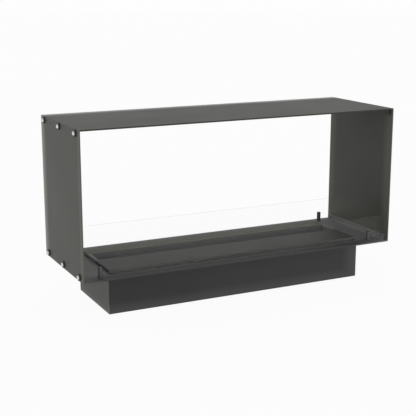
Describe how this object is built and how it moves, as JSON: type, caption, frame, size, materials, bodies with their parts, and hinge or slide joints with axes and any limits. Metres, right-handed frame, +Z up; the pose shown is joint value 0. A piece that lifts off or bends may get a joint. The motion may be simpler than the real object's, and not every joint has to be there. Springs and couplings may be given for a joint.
{
  "type": "water vapour fireplace",
  "caption": "See-through steel hearth frame on a plinth, with low glass screens and a drop-in vapour unit that lights a mist as flames.",
  "frame": {"origin": "centre of the footprint, at the plinth's underside", "axes": "+Z up, front faces -Y, +X along the hearth's length to the right seen from the front"},
  "size_m": [1.219, 0.4, 0.635],
  "materials": {
    "black_coat": "fine-textured matt powder coat, anthracite black",
    "bright_screw": "polished stainless steel",
    "black_washer": "matt black nylon",
    "screen_glass": "clear toughened float glass with a pale green edge",
    "pin_black": "satin black zinc plating on turned steel",
    "zinc_sheet": "galvanised sheet",
    "zinc_nut": "bright zinc plating",
    "pad_rubber": "matt black rubber",
    "led_aluminium": "satin anodised extrusion",
    "lens_plastic": "frosted translucent acrylic",
    "led_tape": "white tape with yellow phosphor chips",
    "basin_plastic": "moulded black polypropylene",
    "maker_steel": "turned stainless steel",
    "disc_ceramic": "glazed piezo ceramic",
    "ring_steel": "stamped stainless steel",
    "float_foam": "pale closed-cell foam",
    "fan_plastic": "glass-filled black plastic",
    "tank_plastic": "translucent natural polyethylene",
    "cap_plastic": "blue moulded plastic",
    "pipe_plastic": "pale nylon tube",
    "valve_brass": "machined brass with a black coil",
    "terminal_plastic": "black moulded plastic with zinc screws",
    "board_green": "green solder mask on fibreglass",
    "board_mixed": "relays, capacitors, terminals and a finned heat sink",
    "inlet_plastic": "black moulded plastic",
    "rocker_plastic": "glossy black moulded plastic",
    "wire_black": "black sheathed cable",
    "wire_loom": "dark sleeved wires"
  },
  "bodies": {
    "hearth": {"left_side_panel": "black_coat", "right_side_panel": "black_coat", "top_panel": "black_coat", "floor_panel": "black_coat", "left_screws": "bright_screw", "right_screws": "bright_screw", "left_washers": "black_washer", "right_washers": "black_washer", "plinth_front_wall": "black_coat", "plinth_rear_wall": "black_coat", "plinth_left_wall": "black_coat", "plinth_right_wall": "black_coat", "plinth_base": "black_coat", "front_glass_pins": "pin_black", "rear_glass_pins": "pin_black", "pin_nuts": "zinc_nut", "unit_case": "zinc_sheet", "unit_pads": "pad_rubber", "flame_trough": "black_coat", "front_led_bar": "led_aluminium", "rear_led_bar": "led_aluminium", "led_lenses": "lens_plastic", "led_strips": "led_tape", "basin_gasket": "pad_rubber", "mist_basin": "basin_plastic", "mist_makers": "maker_steel", "ceramic_discs": "disc_ceramic", "disc_rings": "ring_steel", "float_stem": "ring_steel", "float_clips": "ring_steel", "fan_frames": "fan_plastic", "water_tank": "tank_plastic", "tank_lid": "tank_plastic", "tank_neck": "tank_plastic", "outlet_pipe": "pipe_plastic", "feed_valve": "valve_brass", "feed_pipe": "pipe_plastic", "power_supply": "zinc_sheet", "supply_terminals": "terminal_plastic", "control_board": "board_green", "board_parts": "board_mixed", "board_standoffs": "zinc_nut", "mains_inlet": "inlet_plastic", "inlet_pins": "ring_steel", "inlet_screws": "zinc_nut", "switch_housing": "inlet_plastic", "mains_wiring": "wire_black", "board_wiring": "wire_loom"},
    "front_screen": {"front_glass": "screen_glass"},
    "rear_screen": {"rear_glass": "screen_glass"},
    "front_lid": {"front_cover": "black_coat"},
    "rear_lid": {"rear_cover": "black_coat"},
    "filler_cap": {"tank_cap": "cap_plastic", "cap_seal": "pad_rubber"},
    "float": {"level_float": "float_foam"},
    "left_fan": {"left_fan_rotor": "fan_plastic"},
    "middle_fan": {"middle_fan_rotor": "fan_plastic"},
    "right_fan": {"right_fan_rotor": "fan_plastic"},
    "rocker": {"switch_rocker": "rocker_plastic"}
  },
  "joints": [
    {"name": "front_screen_lift", "type": "slide", "parent": "hearth", "child": "front_screen", "axis": [0, 0, 1], "range_m": [0, 0.05]},
    {"name": "rear_screen_lift", "type": "slide", "parent": "hearth", "child": "rear_screen", "axis": [0, 0, 1], "range_m": [0, 0.05]},
    {"name": "front_lid_lift", "type": "slide", "parent": "hearth", "child": "front_lid", "axis": [0, 0, 1], "range_m": [0, 0.1]},
    {"name": "rear_lid_lift", "type": "slide", "parent": "hearth", "child": "rear_lid", "axis": [0, 0, 1], "range_m": [0, 0.1]},
    {"name": "filler_cap_turn", "type": "hinge", "parent": "hearth", "child": "filler_cap", "pos_m": [-0.392, -0.075, 0.1355], "axis": [0, 0, 1], "range_deg": [0, 90]},
    {"name": "float_rise", "type": "slide", "parent": "hearth", "child": "float", "axis": [0, 0, 1], "range_m": [0, 0.02]},
    {"name": "left_fan_spin", "type": "hinge", "parent": "hearth", "child": "left_fan", "pos_m": [-0.3, 0.072, 0.077], "axis": [0, 1, 0], "continuous": true},
    {"name": "middle_fan_spin", "type": "hinge", "parent": "hearth", "child": "middle_fan", "pos_m": [0, 0.072, 0.077], "axis": [0, 1, 0], "continuous": true},
    {"name": "right_fan_spin", "type": "hinge", "parent": "hearth", "child": "right_fan", "pos_m": [0.3, 0.072, 0.077], "axis": [0, 1, 0], "continuous": true},
    {"name": "rocker_tilt", "type": "hinge", "parent": "hearth", "child": "rocker", "pos_m": [0.3525, 0.136, 0.035], "axis": [1, 0, 0], "range_deg": [-16, 0]}
  ]
}
